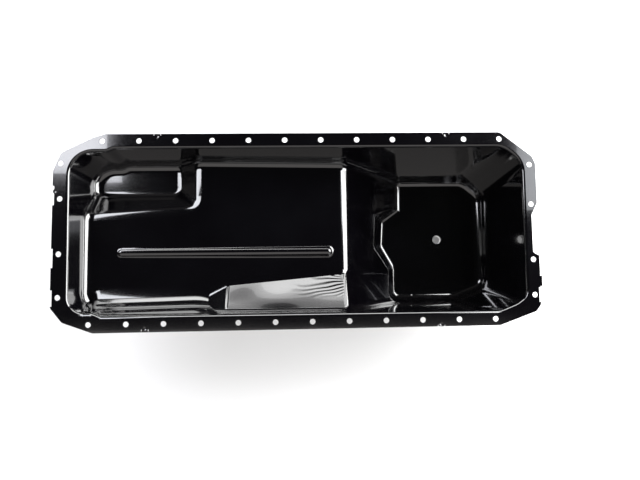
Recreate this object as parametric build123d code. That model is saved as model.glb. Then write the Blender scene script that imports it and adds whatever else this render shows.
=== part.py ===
from build123d import *
from math import cos, hypot, radians, sin, tan
import os

# Deep-drawn steel oil pan with a shallow trough and a deep sump at its +X end.
# The gasket face is the plane z = 0, +Z points to the engine and the cavity lies below.
# X runs along the pan from the middle of the bolt rows, Y is positive on the far side.
# Lengths are in millimetres, angles in degrees.

sheet = 2.0                 # thickness of the steel
bend = 3.0                  # bend under the flange, on the outside of the wall

# Bolt rows and end holes in the flange.
bolt_hole = 9.0
row_bolts = 12
row_pitch = 60.0
row_far = 150.0             # Y of the far row, the near row mirrors it
near_row_shift = -17.2      # the near row starts nearer the shallow end
left_hole_x = -396.8
left_hole_y = (113.3, 54.5, -35.8, -106.0)
right_hole_x = 379.7
right_hole_y = (106.0, 39.0, -53.3, -111.6)
edge_margin = 11.5          # from a row of holes to the flange's outer edge

# Trimmed outer edge of the flange.
flange_left = -408.5
flange_right = 389.5
edge_round = 12.0
relief = 2.8                # depth of the clipped stretches of the end edges
relief_left = ((44.0, 76.0), (-58.0, -27.0), (-120.0, -94.0))
relief_right = (-123.5, -99.5)
waist_right = (-42.0, 21.0)  # narrowed stretch of the right edge, between two bolt holes
waist_depth = 10.0
waist_round = 6.0
ear_right = (-97.5, -80.5)  # small ear that stands proud of the right edge
ear_reach = 3.0

# Tongues lanced into the flange edge that hold the gasket.
tongue_width = 10.0
slit_width = 1.0
slit_length = 3.0
dimple_radius = 3.0
dimple_depth = 0.8
dimple_inset = 4.5          # from the edge to the dimple's middle
tongues_far = (-240.0, 240.0)
tongues_near = (-257.0, 223.0)
tongue_left_y = 67.0

# Mouth of the cavity, at the gasket face.
mouth_left = -383.0
mouth_far = 137.5
mouth_near = -137.0
boss_step = 5.0             # the wall steps in beside each end bolt of the shallow end
far_step_x = -312.0
near_step_x = -331.0
wall_draft_left = 10.0
wall_draft_far = 6.0
wall_draft_near = 5.0
corner_far_left = 38.0
corner_near_left = 28.0
step_round = 20.0
step_run = 10.0              # length of the slanted stretch that leads to a boss step

# Floor of the trough and the ramp into the sump.
crest_x = 74.0
crest_depth = 79.0
floor_slope = 3.05
ramp_slope = 47.5
crest_round = 28.0
toe_round = 24.0
floor_fillet = 16.0         # between every wall and the floor

# Sump.
sump_depth = 200.0
sump_far_x = 204.0
sump_far_y = 76.0
pocket_x = 148.0            # the sump wall bulges towards the trough
pocket_far_y = 38.0
pocket_near_y = -16.0
sump_near_x = 168.0
sump_near_y = -56.0
sump_right = 353.0
sump_chamfer_near = ((290.0, 0.0), (337.0, 18.5), (353.0, 29.5))
sump_chamfer_far = ((353.0, 28.5), (318.0, 0.0))
pocket_draft = 14.0
sump_draft_far_left = 20.0
sump_draft_near_left = 10.0
sump_draft_right = 4.0
chamfer_draft = 8.0
pocket_round = 20.0
sump_left_round = 30.0
chamfer_round = 19.0
sump_corner_round = 38.0
ridge_bend = 5.0            # where the pocket's wall breaks out of the ramp, on the inside

# Recess in the trough floor, in the far corner of the shallow end.
recess_depth = 88.0
recess_near_y = 74.0
recess_right_x = -219.0
recess_slope_near = 51.0    # from upright
recess_slope_right = 58.0
recess_corner = 30.0
recess_fillet = 18.0
recess_lip = 28.0

# Ledge pressed up along the near wall, which follows the floor and the ramp.
ledge_height = 47.0         # depth of its outer edge below the gasket face
ledge_outer_y = -123.0
ledge_fall = 30.6           # slope towards the middle of the pan
ledge_left_x = -133.0
ledge_end_slope = 14.0
ledge_crest = 9.0
ledge_end_round = 12.0
ledge_seam = 14.0

# Stiffening bead along the trough floor.
bead_y = -31.0
bead_left = -313.0
bead_right = 42.0
bead_radius = 9.0
bead_rise_left = 3.0
bead_rise_right = 6.0
bead_fillet = 4.0

# Drain in the sump floor.
drain_x = 265.0
drain_y = -2.0
drain_bore = 16.4           # tapping size of the thread
drain_clearance = 0.8
boss_diameter = 30.0
boss_height = 11.0
boss_chamfer = 1.0

reach = 600.0               # half size of the blocks that planes are cut from


def tangent(angle):
    return tan(radians(angle))


def moved_edges(points, shifts):
    """Corners of a polygon whose edges are each moved outwards by their own shift."""
    lines = []
    for i, (x, y) in enumerate(points):
        next_x, next_y = points[(i + 1) % len(points)]
        length = hypot(next_x - x, next_y - y)
        out_x, out_y = (next_y - y) / length, (x - next_x) / length
        lines.append((out_x, out_y, x * out_x + y * out_y + shifts[i]))
    corners = []
    for i, (bx, by, b) in enumerate(lines):
        ax, ay, a = lines[i - 1]
        cross = ax * by - ay * bx
        corners.append(((a * by - b * ay) / cross, (ax * b - bx * a) / cross))
    return corners


def outline_at(points, drafts, rise, grow):
    """Outline of a drafted form at a height above its given outline."""
    shifts = [rise * tangent(d) + grow / cos(radians(d)) for d in drafts]
    return moved_edges(points, shifts)


def drafted(points, drafts, level, low, high, grow):
    """Solid with flat walls, each leaning by its own draft."""
    rings = []
    for z in (low, high):
        rings.append([Vector(x, y, z) for x, y in outline_at(points, drafts, z - level, grow)])
    faces = [Face(Wire.make_polygon(ring, close=True)) for ring in rings]
    for i in range(len(points)):
        j = (i + 1) % len(points)
        wall = [rings[0][i], rings[0][j], rings[1][j], rings[1][i]]
        faces.append(Face(Wire.make_polygon(wall, close=True)))
    solid = Solid(Shell(faces))
    return solid if solid.volume > 0 else Solid(Shell([-face for face in faces]))


def slant_edge(solid, corner):
    """The rising edge that starts or ends at a corner."""
    rising = [e for e in solid.edges() if abs((e @ 0).Z - (e @ 1).Z) > 3]
    return min(rising, key=lambda e: min((e @ 0 - corner).length, (e @ 1 - corner).length))


def round_corners(solid, points, drafts, radii, level, grow):
    """Rounds the upright corners, a hollow one less and a full one more as the form grows."""
    for i, radius in enumerate(radii):
        if not radius:
            continue
        ax, ay = points[i - 1]
        bx, by = points[i]
        cx, cy = points[(i + 1) % len(points)]
        full = (bx - ax) * (cy - by) > (by - ay) * (cx - bx)
        x, y = outline_at(points, drafts, -level, grow)[i]
        edge = slant_edge(solid, Vector(x, y, 0))
        solid = solid.fillet(radius + grow if full else radius - grow, [edge])
    return solid


def profile(points, shifts, radii):
    """Face of a side profile in X and Z, with its edges moved and some corners rounded."""
    corners = moved_edges(points, shifts)
    face = make_face(Polyline(*corners, close=True))
    for (x, z), radius in zip(corners, radii):
        if radius:
            corner = min(face.vertices(), key=lambda v: hypot(v.X - x, v.Y - z))
            face = fillet(corner, radius)
    return face.face()


def side_plane(y, z=0.0):
    """Plane across the pan, in which profiles of X and Z are drawn."""
    return Plane(origin=(0, y, z), x_dir=(1, 0, 0), z_dir=(0, -1, 0))


def floor_level(x, grow=0.0):
    return -crest_depth + (crest_x - x) * tangent(floor_slope) - grow / cos(radians(floor_slope))


def ground(grow):
    """What lies under the trough floor, the ramp and the sump floor."""
    toe_x = crest_x + (sump_depth - crest_depth) / tangent(ramp_slope)
    bottom = -sump_depth - reach / 2
    points = [(-reach, bottom), (reach, bottom), (reach, -sump_depth), (toe_x, -sump_depth),
              (crest_x, -crest_depth), (-reach, floor_level(-reach))]
    shifts = [0, 0, -grow, -grow, -grow, 0]
    radii = [0, 0, 0, toe_round + grow, crest_round - grow, 0]
    face = side_plane(-reach / 2) * profile(points, shifts, radii)
    return Solid.extrude(face, Vector(0, reach, 0))


def recess(grow):
    """Space of the recess, open above the trough floor."""
    points = [(-reach, recess_near_y), (recess_right_x, recess_near_y),
              (recess_right_x, reach / 2), (-reach, reach / 2)]
    drafts = [recess_slope_near, recess_slope_right, 0, 0]
    bottom = -recess_depth - grow
    space = drafted(points, drafts, -recess_depth, bottom, -recess_depth / 3, grow)
    x, y = outline_at(points, drafts, -grow, grow)[1]
    space = space.fillet(recess_corner + grow, [slant_edge(space, Vector(x, y, bottom))])
    foot = [e for e in space.edges().filter_by_position(Axis.Z, bottom - 0.01, bottom + 0.01)
            if (e @ 0.5).X > 1 - reach and (e @ 0.5).Y < reach / 2 - 1]
    return space.fillet(recess_fillet + grow, foot)


def ledge(grow):
    """Ledge by the near wall: one profile of X and Z, drawn out along the slope across the pan."""
    fall = tangent(ledge_fall)
    below = 250.0
    ramp = tangent(ramp_slope)
    end = tangent(ledge_end_slope)
    top = -ledge_height
    points = [(ledge_left_x - below / end, top - below), (crest_x + below / ramp, top - below),
              (crest_x, top), (ledge_left_x, top)]
    shifts = [0] + [-grow * hypot(1, fall, slope) / hypot(1, slope) for slope in (ramp, 0, end)]
    radii = [0, 0, ledge_crest - grow, ledge_end_round - grow]
    back = 60.0
    face = side_plane(ledge_outer_y - back, back * fall) * profile(points, shifts, radii)
    across = back + 240.0
    return Solid.extrude(face, Vector(0, across, -across * fall))


def bead(grow):
    """Round-topped bead that stands taller towards the sump."""
    radius = bead_radius - grow
    left = Vector(bead_left, bead_y, floor_level(bead_left) + bead_rise_left - bead_radius)
    right = Vector(bead_right, bead_y, floor_level(bead_right) + bead_rise_right - bead_radius)
    body = Solid.make_cylinder(radius, (right - left).length, Plane(origin=left, z_dir=right - left))
    for end in (left, right):
        body = body + Sphere(radius).solid().moved(Location(end))
    return body.solid()


def pressed_floor(grow):
    """Everything that is pressed into the floor, as one solid under it."""
    base = (ground(grow) - recess(grow)).solid()
    lip = [e for e in base.edges() if -reach / 2 < (e @ 0.5).X < ledge_left_x
           and all(abs((e @ t).Z - floor_level((e @ t).X, grow)) < 0.1 for t in (0, 0.5, 1))
           and abs((e @ 0.5).Y) < reach / 2 - 1]
    base = base.fillet(recess_lip - grow, lip)
    strip, plain = ledge(grow), ground(grow)
    base = (base + strip).solid()
    seam = [e for e in base.edges() if mouth_near - 30 < (e @ 0.5).Y < bead_y
            and strip.distance_to(e @ 0.5) < 0.05 and plain.distance_to(e @ 0.5) < 0.05]
    base = base.fillet(ledge_seam + grow, seam)
    rib, smooth = bead(grow), base
    base = (base + rib).solid()
    foot = [e for e in base.edges() if rib.distance_to(e @ 0.5) < 0.01
            and smooth.distance_to(e @ 0.5) < 0.01 and rib.distance_to(e @ 0) < 0.01]
    return base.fillet(bead_fillet + grow, foot)


def wall_foot(solid, right_end):
    """Edges where a steep wall meets the floor, left of the open right end."""
    found = []
    for edge in solid.edges():
        middle = edge @ 0.5
        if middle.Z > -5 or middle.X > right_end - 0.5:
            continue
        faces = [f for f in solid.faces() if any(edge.is_same(other) for other in f.edges())]
        rises = sorted(abs(f.normal_at(middle).Z) for f in faces)
        if len(rises) == 2 and rises[0] < 0.4 and rises[1] > 0.5:
            found.append(edge)
    return found


def trough(grow):
    """Shallow part of the cavity with the ramp, up to an open end inside the sump."""
    right = (pocket_x + sump_right) / 2 - 20
    points = [(mouth_left, mouth_far - boss_step), (mouth_left + 1, mouth_near + boss_step),
              (near_step_x - step_run, mouth_near + boss_step), (near_step_x, mouth_near),
              (right, mouth_near), (right, mouth_far), (far_step_x, mouth_far),
              (far_step_x - step_run, mouth_far - boss_step)]
    drafts = [wall_draft_left] + [wall_draft_near] * 3 + [0] + [wall_draft_far] * 3
    radii = [corner_far_left, corner_near_left, step_round, step_round, 0, 0, step_round, step_round]
    space = drafted(points, drafts, 0, -sump_depth - 20, 0, grow)
    space = (space - pressed_floor(grow)).solid()
    space = round_corners(space, points, drafts, radii, 0, grow)
    return space.fillet(floor_fillet + grow, wall_foot(space, right + grow))


def sump(grow):
    """Deep bowl of the cavity, drawn by the outline of its floor."""
    far = mouth_far - sump_depth * tangent(wall_draft_far)
    near = mouth_near + sump_depth * tangent(wall_draft_near)
    points = [(sump_far_x, far), (sump_far_x, sump_far_y), (pocket_x + 1, pocket_far_y),
              (pocket_x - 2, pocket_near_y), (sump_near_x, sump_near_y), (sump_near_x, near)]
    points += [(x, near + y) for x, y in sump_chamfer_near]
    points += [(x, far - y) for x, y in sump_chamfer_far]
    drafts = [sump_draft_far_left] + [pocket_draft] * 3 + [sump_draft_near_left, wall_draft_near]
    drafts += [chamfer_draft, chamfer_draft, sump_draft_right, chamfer_draft, wall_draft_far]
    radii = [0, sump_left_round] + [pocket_round] * 4 + [sump_left_round,
             chamfer_round, chamfer_round, sump_corner_round, sump_corner_round]
    space = drafted(points, drafts, -sump_depth, -sump_depth - grow, 0, grow)
    space = round_corners(space, points, drafts, radii, -sump_depth, grow)
    bottom = -sump_depth - grow
    foot = space.edges().filter_by_position(Axis.Z, bottom - 0.01, bottom + 0.01)
    return space.fillet(floor_fillet + grow, foot)


def meeting_angle(solid, edge):
    """Angle between the two faces that meet at the middle of an edge."""
    middle = edge @ 0.5
    faces = [f for f in solid.faces() if any(edge.is_same(other) for other in f.edges())]
    return faces[0].normal_at(middle).get_angle(faces[-1].normal_at(middle))


def cavity(grow):
    """Space inside the pan, or its outer form when it grows by the sheet."""
    shallow, deep = trough(grow), sump(grow)
    space = (shallow + deep).solid()
    ridge = []
    for edge in space.edges():
        middle = edge @ 0.5
        above_floor = middle.Z + sump_depth + grow
        if middle.Z > -crest_depth or above_floor < floor_fillet / 2 or middle.X > sump_far_x:
            continue
        if shallow.distance_to(middle) < 0.02 and deep.distance_to(middle) < 0.02:
            if meeting_angle(space, edge) > 10:
                ridge.append(edge)
    return space.fillet(ridge_bend - grow, ridge)


def flange():
    """Flat rim with its trimmed edge, holes and gasket tongues."""
    far = row_far + edge_margin
    near = -row_far - edge_margin
    points = [(flange_left, 101), (flange_left, -122), (-389, -146), (-340, near - 2), (320, near + 1),
              (381, -138.5), (flange_right, -127), (flange_right, 108), (384, 120), (331, far),
              (-325, far), (-346, 155), (-396, 131)]
    outline = fillet(make_face(Polyline(*points, close=True)).vertices(), edge_round)
    ends = [(flange_left, span) for span in relief_left] + [(flange_right, relief_right)]
    for x, (low, high) in ends:
        outline -= Pos(x, (low + high) / 2) * Rectangle(2 * relief, high - low)
    low, high = waist_right
    inner, outer = flange_right - waist_depth, flange_right + waist_depth
    waist = make_face(Polyline((inner, low), (outer, low - waist_depth), (outer, high + 4 * waist_depth),
                               (inner, high), close=True))
    outline -= fillet(waist.vertices().group_by(Axis.X)[0], waist_round)
    low, high = ear_right
    outline += Pos(flange_right, (low + high) / 2) * Rectangle(2 * ear_reach, high - low)
    half = (row_bolts - 1) * row_pitch / 2
    centres = [(i * row_pitch - half, row_far) for i in range(row_bolts)]
    centres += [(i * row_pitch - half + near_row_shift, -row_far) for i in range(row_bolts)]
    centres += [(left_hole_x, y) for y in left_hole_y] + [(right_hole_x, y) for y in right_hole_y]
    for x, y in centres:
        outline -= Pos(x, y) * Circle(bolt_hole / 2)
    return extrude(outline, -sheet).solid()


def tongue_places():
    """Foot of each tongue on the flange edge and the angle of its outward direction."""
    edge = row_far + edge_margin
    places = [(x, edge, 90) for x in tongues_far] + [(x, -edge, -90) for x in tongues_near]
    return places + [(flange_left, tongue_left_y, 180)]


def level_edges(solid, level, other):
    """Edges of a solid that lie on a level plane and on another solid's surface."""
    flat = solid.edges().filter_by_position(Axis.Z, level - 0.01, level + 0.01)
    return [e for e in flat if other.distance_to(e @ 0.5) < 0.01]


def pan_shell():
    """The pressed sheet: outer form less inner form, each with its bend at the flange."""
    form = cavity(sheet)
    outer = (flange() + form).solid()
    outer = outer.fillet(bend, level_edges(outer, -sheet, form))
    form = cavity(0)
    above = Box(reach * 2, reach, reach / 4, align=(Align.CENTER, Align.CENTER, Align.MIN))
    inner = (above + form).solid()
    inner = inner.fillet(bend + sheet, level_edges(inner, 0, form))
    body = (outer - inner).solid()
    ball = (dimple_radius ** 2 + dimple_depth ** 2) / (2 * dimple_depth)
    for x, y, angle in tongue_places():
        root = Pos(x, y) * Rot(0, 0, angle)
        for side in (-1, 1):
            offset = side * (tongue_width + slit_width) / 2
            body -= root * Pos(-slit_length / 2, offset) * Box(slit_length, slit_width, sheet * 4)
        middle = root * Pos(-dimple_inset, 0, ball - dimple_depth)
        cap = Box(4 * ball, 4 * ball, 2 * dimple_depth + sheet / 2)
        knob = Sphere(ball + sheet) & Pos(0, 0, -ball - sheet) * cap
        body = body + middle * knob - middle * Sphere(ball)
    hole = Cylinder((drain_bore + drain_clearance) / 2, sheet * 3)
    return (body - Pos(drain_x, drain_y, -sump_depth) * hole).solid()


def drain_boss():
    """Threaded boss that is welded under the sump floor."""
    top = -sump_depth - sheet
    body = Cylinder(boss_diameter / 2, boss_height, align=(Align.CENTER, Align.CENTER, Align.MAX))
    body = chamfer(body.edges().group_by(Axis.Z)[0], boss_chamfer)
    body -= Cylinder(drain_bore / 2, boss_height * 3)
    return (Pos(drain_x, drain_y, top) * body).solid()


os.makedirs("parts", exist_ok=True)
export_step(pan_shell(), "parts/pan_shell.step")
export_step(drain_boss(), "parts/drain_boss.step")
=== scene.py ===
import math

import bpy
from mathutils import Matrix, Vector, noise


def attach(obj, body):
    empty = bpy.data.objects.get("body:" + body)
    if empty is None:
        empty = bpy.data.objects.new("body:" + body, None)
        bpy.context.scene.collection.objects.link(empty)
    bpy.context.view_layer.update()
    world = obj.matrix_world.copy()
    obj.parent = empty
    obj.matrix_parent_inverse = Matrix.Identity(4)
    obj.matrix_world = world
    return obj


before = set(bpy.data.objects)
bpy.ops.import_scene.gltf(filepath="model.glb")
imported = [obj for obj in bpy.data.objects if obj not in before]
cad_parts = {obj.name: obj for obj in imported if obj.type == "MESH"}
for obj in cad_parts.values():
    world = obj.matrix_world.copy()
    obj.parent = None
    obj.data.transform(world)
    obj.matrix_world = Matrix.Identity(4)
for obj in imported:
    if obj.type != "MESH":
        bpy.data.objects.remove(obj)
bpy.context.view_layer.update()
scene = bpy.context.scene
print("frame loaded")


def deselectAll():
    for thing in bpy.context.selected_objects:
        thing.select_set(False)
    bpy.context.view_layer.objects.active = None


# a flat grid of one unit, alone selected, for the skins that are shaped below
def addGrid(name, along, across):
    deselectAll()
    bpy.ops.mesh.primitive_grid_add(x_subdivisions=along, y_subdivisions=across,
                                    size=1.0, location=(0, 0, 0))
    grid = bpy.context.active_object
    grid.name = name
    return grid


def smooth(t):
    t = max(0.0, min(1.0, t))
    return t * t * (3.0 - 2.0 * t)


# the black dip coat: very dark, glossy, with a faint violet cast and slight waves
coat = {
    "black": (0.0010, 0.0008, 0.0013, 1.0),
    "worn": (0.0018, 0.0017, 0.0024, 1.0),
    "smudgeScale": 9.0,
    "smudgeDetail": 5.0,
    "smudgeFrom": 0.35,
    "smudgeTo": 0.75,
    "roughness": 0.07,  # where the coat is at its glossiest
    "dull": 0.14,  # and where it is smudged
    "specular": 0.8,
    "clear": 1.0,
    "clearRoughness": 0.03,
    "waveScale": 14.0,
    "waveDetail": 1.0,
    "waveDepth": 0.0002,
    "grainScale": 900.0,
    "grainDepth": 0.00001,
    "sheetDulled": 0.0,
    "bossDulled": 0.05,
}


def coatMaterial(name, dulled):
    material = bpy.data.materials.new(name)
    material.use_nodes = True
    tree = material.node_tree
    shader = tree.nodes["Principled BSDF"]
    shader.inputs["Specular IOR Level"].default_value = coat["specular"]
    shader.inputs["Coat Weight"].default_value = coat["clear"]
    shader.inputs["Coat Roughness"].default_value = coat["clearRoughness"]
    place = tree.nodes.new("ShaderNodeTexCoord")
    smudge = tree.nodes.new("ShaderNodeTexNoise")
    smudge.inputs["Scale"].default_value = coat["smudgeScale"]
    smudge.inputs["Detail"].default_value = coat["smudgeDetail"]
    ramp = tree.nodes.new("ShaderNodeValToRGB")
    ramp.color_ramp.elements[0].position = coat["smudgeFrom"]
    ramp.color_ramp.elements[1].position = coat["smudgeTo"]
    ramp.color_ramp.elements[0].color = coat["black"]
    ramp.color_ramp.elements[1].color = coat["worn"]
    gloss = tree.nodes.new("ShaderNodeMapRange")
    gloss.inputs["To Min"].default_value = coat["roughness"] + dulled
    gloss.inputs["To Max"].default_value = coat["dull"] + dulled
    wave = tree.nodes.new("ShaderNodeTexNoise")
    wave.inputs["Scale"].default_value = coat["waveScale"]
    wave.inputs["Detail"].default_value = coat["waveDetail"]
    waveBump = tree.nodes.new("ShaderNodeBump")
    waveBump.inputs["Distance"].default_value = coat["waveDepth"]
    waveBump.inputs["Strength"].default_value = 1.0
    grain = tree.nodes.new("ShaderNodeTexNoise")
    grain.inputs["Scale"].default_value = coat["grainScale"]
    grainBump = tree.nodes.new("ShaderNodeBump")
    grainBump.inputs["Distance"].default_value = coat["grainDepth"]
    link = tree.links.new
    for texture in (smudge, wave, grain):
        link(place.outputs["Object"], texture.inputs["Vector"])
    link(smudge.outputs["Fac"], ramp.inputs["Fac"])
    link(ramp.outputs["Color"], shader.inputs["Base Color"])
    link(smudge.outputs["Fac"], gloss.inputs["Value"])
    link(gloss.outputs["Result"], shader.inputs["Roughness"])
    link(wave.outputs["Fac"], waveBump.inputs["Height"])
    link(grain.outputs["Fac"], grainBump.inputs["Height"])
    link(waveBump.outputs["Normal"], grainBump.inputs["Normal"])
    link(grainBump.outputs["Normal"], shader.inputs["Normal"])
    return material


sheetCoat = coatMaterial("sheetCoat", coat["sheetDulled"])
bossCoat = coatMaterial("bossCoat", coat["bossDulled"])
for node, finish in (("pan_shell", sheetCoat), ("drain_boss", bossCoat)):
    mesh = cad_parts[node].data
    mesh.materials.clear()
    mesh.materials.append(finish)
print("coats on")


# the press buckles of the ledge: broad waves along it, and fine folds that fan out of its crest
buckles = {
    "left": -0.1325,
    "right": 0.0715,
    "near": -0.1285,
    "farLeft": -0.0900,
    "farRight": -0.0715,
    "outerY": -0.123,  # a line on the ledge's flat top, and how the top falls from there
    "outerZ": -0.047,
    "fall": math.radians(30.6),
    "stepsAlong": 150,
    "stepsAcross": 44,
    "lift": 0.00046,  # the skin's stand-off from the sheet
    "sink": 0.0004,  # how far both its ends dip into the sheet
    "fade": 0.004,
    "wave": 0.00048,
    "waveAlong": 15.0,
    "waveAcross": 26.0,
    "waveSeed": 3.7,
    "fold": 0.00008,
    "folds": 62.0,  # how close the folds stand, per radian of the fan
    "foldReach": 0.115,  # from the right end, where they are strongest
    "foldNear": -0.114,
    "foldEase": 0.014,
    "fanX": 0.105,  # the point that they fan out of
    "fanY": -0.086,
    "wander": 0.10,
    "wanderAlong": 30.0,
    "wanderAcross": 50.0,
    "wanderSeed": 1.3,
}


def buckleHeight(x, y):
    shape = buckles
    spot = Vector((x * shape["waveAlong"], y * shape["waveAcross"], shape["waveSeed"]))
    height = shape["lift"] + shape["wave"] * noise.noise(spot)
    reach = smooth(1.0 - (shape["right"] - x) / shape["foldReach"])
    reach *= smooth((y - shape["foldNear"]) / shape["foldEase"])
    fan = math.atan2(y - shape["fanY"], shape["fanX"] - x)
    spot = Vector((x * shape["wanderAlong"], y * shape["wanderAcross"], shape["wanderSeed"]))
    fan += shape["wander"] * noise.noise(spot)
    height += shape["fold"] * reach * math.sin(fan * shape["folds"])
    inside = smooth((x - shape["left"]) / shape["fade"]) * smooth((shape["right"] - x) / shape["fade"])
    return (height + shape["sink"]) * inside - shape["sink"]


ledge = addGrid("ledgeBuckles", buckles["stepsAlong"], buckles["stepsAcross"])
lean = Vector((0.0, math.sin(buckles["fall"]), math.cos(buckles["fall"])))
for vertex in ledge.data.vertices:
    along, across = vertex.co.x + 0.5, vertex.co.y + 0.5
    x = buckles["left"] + along * (buckles["right"] - buckles["left"])
    far = buckles["farLeft"] + along * (buckles["farRight"] - buckles["farLeft"])
    y = buckles["near"] + across * (far - buckles["near"])
    flat = Vector((x, y, buckles["outerZ"] - (y - buckles["outerY"]) * math.tan(buckles["fall"])))
    vertex.co = flat + lean * buckleHeight(x, y)
ledge.data.update()
bpy.ops.object.shade_smooth()
ledge.data.materials.append(sheetCoat)
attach(ledge, "root")
print("ledge buckled")


# the near wall of the trough leans further in towards its foot, between the end's step and the ledge
foot = {
    "left": -0.380,
    "right": -0.132,
    "leftEase": 0.032,  # over these lengths the lean sets in from both ends
    "rightEase": 0.056,
    "mouth": -0.137,  # the wall at the gasket face
    "top": -0.0055,
    "easyDepth": 0.018,  # and over this depth from the gasket face down
    "draft": math.tan(math.radians(5.0)),
    "lean": math.tan(math.radians(20.0)),
    "round": 0.016,
    "moreRound": 0.030,
    "crestX": 0.074,  # the trough's floor falls from its crest to the left end
    "crestZ": -0.079,
    "fall": math.tan(math.radians(3.05)),
    "sink": 0.0005,  # how far both ends hide in the sheet
    "sinkEase": 8.0,
    "skirt": 0.004,
    "stepsAlong": 124,
    "wallSteps": 14,
    "arcSteps": 22,
}


# the points of the wall and its foot at one X, from the rim down to the floor
def footProfile(x):
    shape = foot
    fromLeft = smooth((x - shape["left"]) / shape["leftEase"])
    fromRight = smooth((shape["right"] - x) / shape["rightEase"])
    ease = fromLeft * fromRight
    sunk = shape["sink"] * (1.0 - smooth(ease * shape["sinkEase"]))
    extra = ease * (shape["lean"] - shape["draft"])
    floorZ = shape["crestZ"] + (shape["crestX"] - x) * shape["fall"] - sunk
    radius = shape["round"] + ease * shape["moreRound"]
    slope = shape["draft"] + extra
    start = shape["mouth"] - sunk - extra * shape["easyDepth"] / 2.0
    tilt = math.hypot(1.0, slope)
    centreY = start - slope * (floorZ + radius) + radius * tilt
    centreZ = floorZ + radius
    touchZ = centreZ - radius * slope / tilt
    points = []
    for step in range(shape["wallSteps"]):
        z = shape["top"] + (touchZ - shape["top"]) * step / shape["wallSteps"]
        depth = -z
        eased = min(depth, shape["easyDepth"])
        pushed = extra * (eased * eased / (2.0 * shape["easyDepth"]) + depth - eased)
        points.append((shape["mouth"] - sunk + shape["draft"] * depth + pushed, z))
    first = math.pi + math.atan(slope)
    last = 1.5 * math.pi
    for step in range(shape["arcSteps"] + 1):
        angle = first + (last - first) * step / shape["arcSteps"]
        points.append((centreY + radius * math.cos(angle), centreZ + radius * math.sin(angle)))
    points.append((centreY + shape["skirt"], floorZ - shape["sink"] / 2.0))
    return points


profiles = []
for step in range(foot["stepsAlong"] + 1):
    x = foot["left"] + (foot["right"] - foot["left"]) * step / foot["stepsAlong"]
    profiles.append([Vector((x, y, z)) for y, z in footProfile(x)])
downSteps = len(profiles[0]) - 1
wall = addGrid("nearWallLean", foot["stepsAlong"], downSteps)
for vertex in wall.data.vertices:
    along = round((vertex.co.x + 0.5) * foot["stepsAlong"])
    down = round((vertex.co.y + 0.5) * downSteps)
    vertex.co = profiles[along][down]
wall.data.update()
bpy.ops.object.shade_smooth()
wall.data.materials.append(sheetCoat)
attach(wall, "root")
print("near wall leaned")


# the weld run round the drain boss
weld = {
    "place": (0.265, -0.002, -0.2022),
    "ring": 0.0157,
    "thick": 0.0021,
    "ripples": 46,
    "ripple": 0.00016,
    "wobbleScale": 300.0,
    "stepsRound": 184,
    "stepsAcross": 12,
}
deselectAll()
bpy.ops.mesh.primitive_torus_add(major_segments=weld["stepsRound"], minor_segments=weld["stepsAcross"],
                                 major_radius=weld["ring"], minor_radius=weld["thick"],
                                 location=(0, 0, 0))
bead = bpy.context.active_object
bead.name = "drainWeld"
for vertex in bead.data.vertices:
    angle = math.atan2(vertex.co.y, vertex.co.x)
    wobble = math.sin(angle * weld["ripples"]) + noise.noise(vertex.co * weld["wobbleScale"])
    swell = 1.0 + weld["ripple"] / weld["thick"] * wobble
    ring = Vector((math.cos(angle), math.sin(angle), 0.0)) * weld["ring"]
    vertex.co = Vector(weld["place"]) + ring + (vertex.co - ring) * swell
bead.data.update()
bpy.ops.object.shade_smooth()
bead.data.materials.append(bossCoat)
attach(bead, "root")
print("weld run")


# from above and slightly from the near side, into the cavity
view = {
    "place": (-0.006, -0.103, 0.980),
    "ahead": (0.033, 0.087, -0.996),
    "up": (0.011, 0.996, 0.087),
    "lens": 33.75,
    "sensor": 36.0,
}
ahead = Vector(view["ahead"]).normalized()
side = ahead.cross(Vector(view["up"])).normalized()
top = side.cross(ahead).normalized()
turn = Matrix((side, top, -ahead)).transposed().to_4x4()
eye = bpy.data.cameras.new("eye")
eye.lens = view["lens"]
eye.sensor_width = view["sensor"]
camera = bpy.data.objects.new("eye", eye)
scene.collection.objects.link(camera)
camera.matrix_world = Matrix.Translation(view["place"]) @ turn
scene.camera = camera
print("camera placed")


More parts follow.
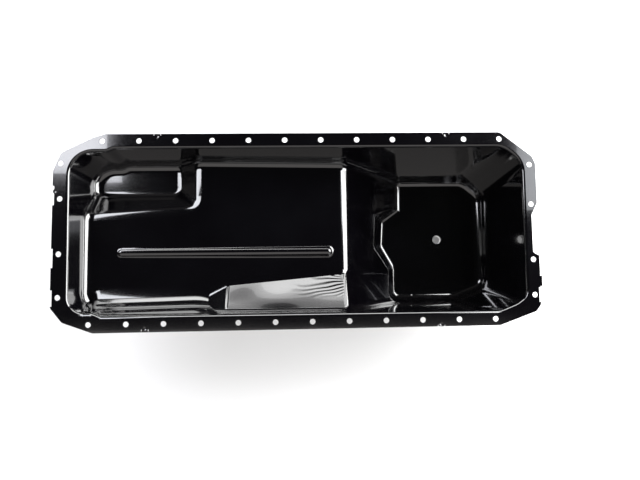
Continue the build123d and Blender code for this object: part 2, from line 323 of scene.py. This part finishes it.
# a white room: the floor and the sky are white to the camera, and the coat mirrors mostly the lamps
studio = {
    "floorZ": -0.2131,
    "floorHalf": 1.2,
    "floorColour": (0.85, 0.85, 0.85, 1.0),
    "floorRoughness": 0.9,
    "floorSpecular": 0.1,
    "floorGlow": 0.12,
    "white": (1.0, 1.0, 1.0, 1.0),
    "skyColour": (0.92, 1.0, 0.97, 1.0),
    "sky": 0.012,
    "lamps": (
        # name, place, aim, size x, size y, power, colour
        ("farLeft", (-1.32, 0.96, 1.05), (-1.32, 0.961, 0.05), 1.32, 1.3, 44.0, (0.93, 0.94, 1.0)),
        ("right", (1.210, 0.376, 0.480), (0.058, -0.455, -0.220), 1.5, 1.2, 68.0, (1.0, 1.0, 1.0)),
        ("rightTop", (0.97, 0.42, 1.05), (0.97, 0.421, 0.05), 0.44, 0.5, 2.6, (0.93, 0.95, 1.0)),
        ("back", (0.15, 2.2, 0.52), (0.15, 0.0, 0.52), 2.2, 1.24, 56.0, (1.0, 1.0, 1.0)),
        ("backEdge", (0.15, 2.2, 1.19), (0.15, 0.0, 1.19), 2.2, 0.1, 2.7, (1.0, 1.0, 1.0)),
        ("backFringe", (0.15, 2.2, 1.30), (0.15, 0.0, 1.30), 2.2, 0.12, 1.3, (1.0, 1.0, 1.0)),
        ("front", (0.0, -2.2, 0.45), (0.0, 0.0, -0.05), 3.0, 1.3, 4.0, (1.0, 1.0, 1.0)),
        ("above", (0.0, -0.97, 1.05), (0.0, -0.969, 0.05), 2.6, 1.5, 8.5, (1.0, 0.96, 0.94)),
    ),
    # lights the floor from the near side and is not mirrored in the coat
    "fill": ("fill", (0.0, -1.7, 1.1), (0.0, -0.3, -0.2), 2.4, 1.0, 20.0, (1.0, 1.0, 1.0)),
}


# matt and lit by the lamps, with a share of plain white for the camera, and all white where it is mirrored
def floorMaterial():
    material = bpy.data.materials.new("floorPaint")
    material.use_nodes = True
    tree = material.node_tree
    matt = tree.nodes["Principled BSDF"]
    matt.inputs["Base Color"].default_value = studio["floorColour"]
    matt.inputs["Roughness"].default_value = studio["floorRoughness"]
    matt.inputs["Specular IOR Level"].default_value = studio["floorSpecular"]
    glow = tree.nodes.new("ShaderNodeEmission")
    glow.inputs["Color"].default_value = studio["white"]
    glow.inputs["Strength"].default_value = 1.0
    seen = tree.nodes.new("ShaderNodeLightPath")
    part = tree.nodes.new("ShaderNodeMath")
    part.operation = "MULTIPLY"
    part.inputs[1].default_value = studio["floorGlow"]
    either = tree.nodes.new("ShaderNodeMath")
    either.operation = "MAXIMUM"
    choose = tree.nodes.new("ShaderNodeMixShader")
    link = tree.links.new
    link(seen.outputs["Is Camera Ray"], part.inputs[0])
    link(part.outputs["Value"], either.inputs[0])
    link(seen.outputs["Is Glossy Ray"], either.inputs[1])
    link(either.outputs["Value"], choose.inputs["Fac"])
    link(matt.outputs["BSDF"], choose.inputs[1])
    link(glow.outputs["Emission"], choose.inputs[2])
    link(choose.outputs["Shader"], tree.nodes["Material Output"].inputs["Surface"])
    return material


# white to the camera, and nearly dark as a light
def roomWorld():
    world = bpy.data.worlds.new("room")
    world.use_nodes = True
    tree = world.node_tree
    dim = tree.nodes["Background"]
    dim.inputs["Color"].default_value = studio["skyColour"]
    dim.inputs["Strength"].default_value = studio["sky"]
    bright = tree.nodes.new("ShaderNodeBackground")
    bright.inputs["Color"].default_value = studio["white"]
    bright.inputs["Strength"].default_value = 1.0
    seen = tree.nodes.new("ShaderNodeLightPath")
    choose = tree.nodes.new("ShaderNodeMixShader")
    link = tree.links.new
    link(seen.outputs["Is Camera Ray"], choose.inputs["Fac"])
    link(dim.outputs["Background"], choose.inputs[1])
    link(bright.outputs["Background"], choose.inputs[2])
    link(choose.outputs["Shader"], tree.nodes["World Output"].inputs["Surface"])
    return world


deselectAll()
bpy.ops.mesh.primitive_plane_add(size=2 * studio["floorHalf"], location=(0, 0, studio["floorZ"]))
floor = bpy.context.active_object
floor.name = "floor"
floor.data.materials.append(floorMaterial())

scene.world = roomWorld()

for name, place, aim, wide, deep, power, colour in (*studio["lamps"], studio["fill"]):
    light = bpy.data.lights.new(name, "AREA")
    light.shape = "RECTANGLE"
    light.size = wide
    light.size_y = deep
    light.energy = power
    light.color = colour
    lamp = bpy.data.objects.new(name, light)
    lamp.location = place
    lamp.rotation_euler = (Vector(aim) - Vector(place)).to_track_quat("-Z", "Y").to_euler()
    lamp.visible_camera = False
    lamp.visible_glossy = name != "fill"
    scene.collection.objects.link(lamp)
scene.view_settings.view_transform = "Standard"
print("studio set")
